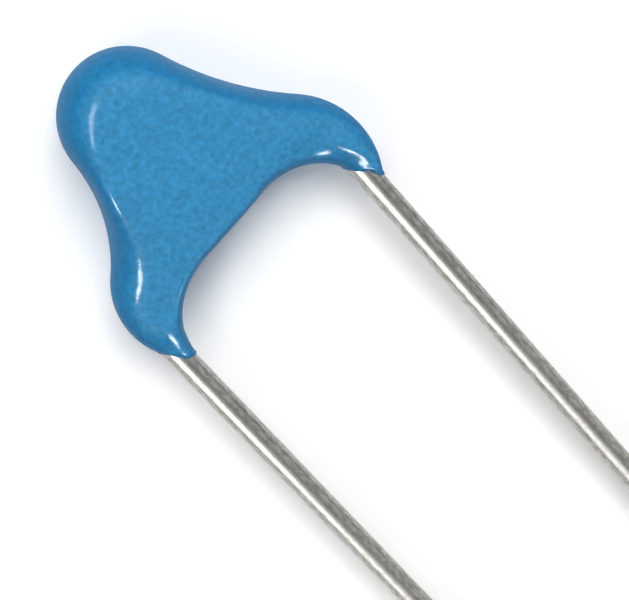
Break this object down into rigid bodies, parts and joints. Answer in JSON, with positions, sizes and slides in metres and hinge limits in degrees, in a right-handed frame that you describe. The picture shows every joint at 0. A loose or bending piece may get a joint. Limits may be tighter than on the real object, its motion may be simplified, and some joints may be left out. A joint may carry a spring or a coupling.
{
  "type": "ceramic disc capacitor",
  "caption": "Small dipped ceramic disc capacitor: a blue resin blob with a round head and arched shoulders, on straight parallel wire leads.",
  "frame": {"origin": "midway between the two leads, on their axes, at the seating line where the coating runs out", "axes": "+Y from the leads to the crown of the head, X across the leads, +Z the front face; the part lies on its back face"},
  "size_m": [0.006, 0.0303, 0.0024],
  "materials": {
    "blue_resin": "gloss",
    "ceramic_body": "matte",
    "silver_film": "satin",
    "solder": "satin",
    "tinned_wire": "satin"
  },
  "bodies": {
    "root": {"coating": "blue_resin", "ceramic_disc": "ceramic_body", "electrode_front": "silver_film", "electrode_rear": "silver_film", "solder_front": "solder", "solder_rear": "solder", "lead_left": "tinned_wire", "lead_right": "tinned_wire"}
  },
  "joints": []
}
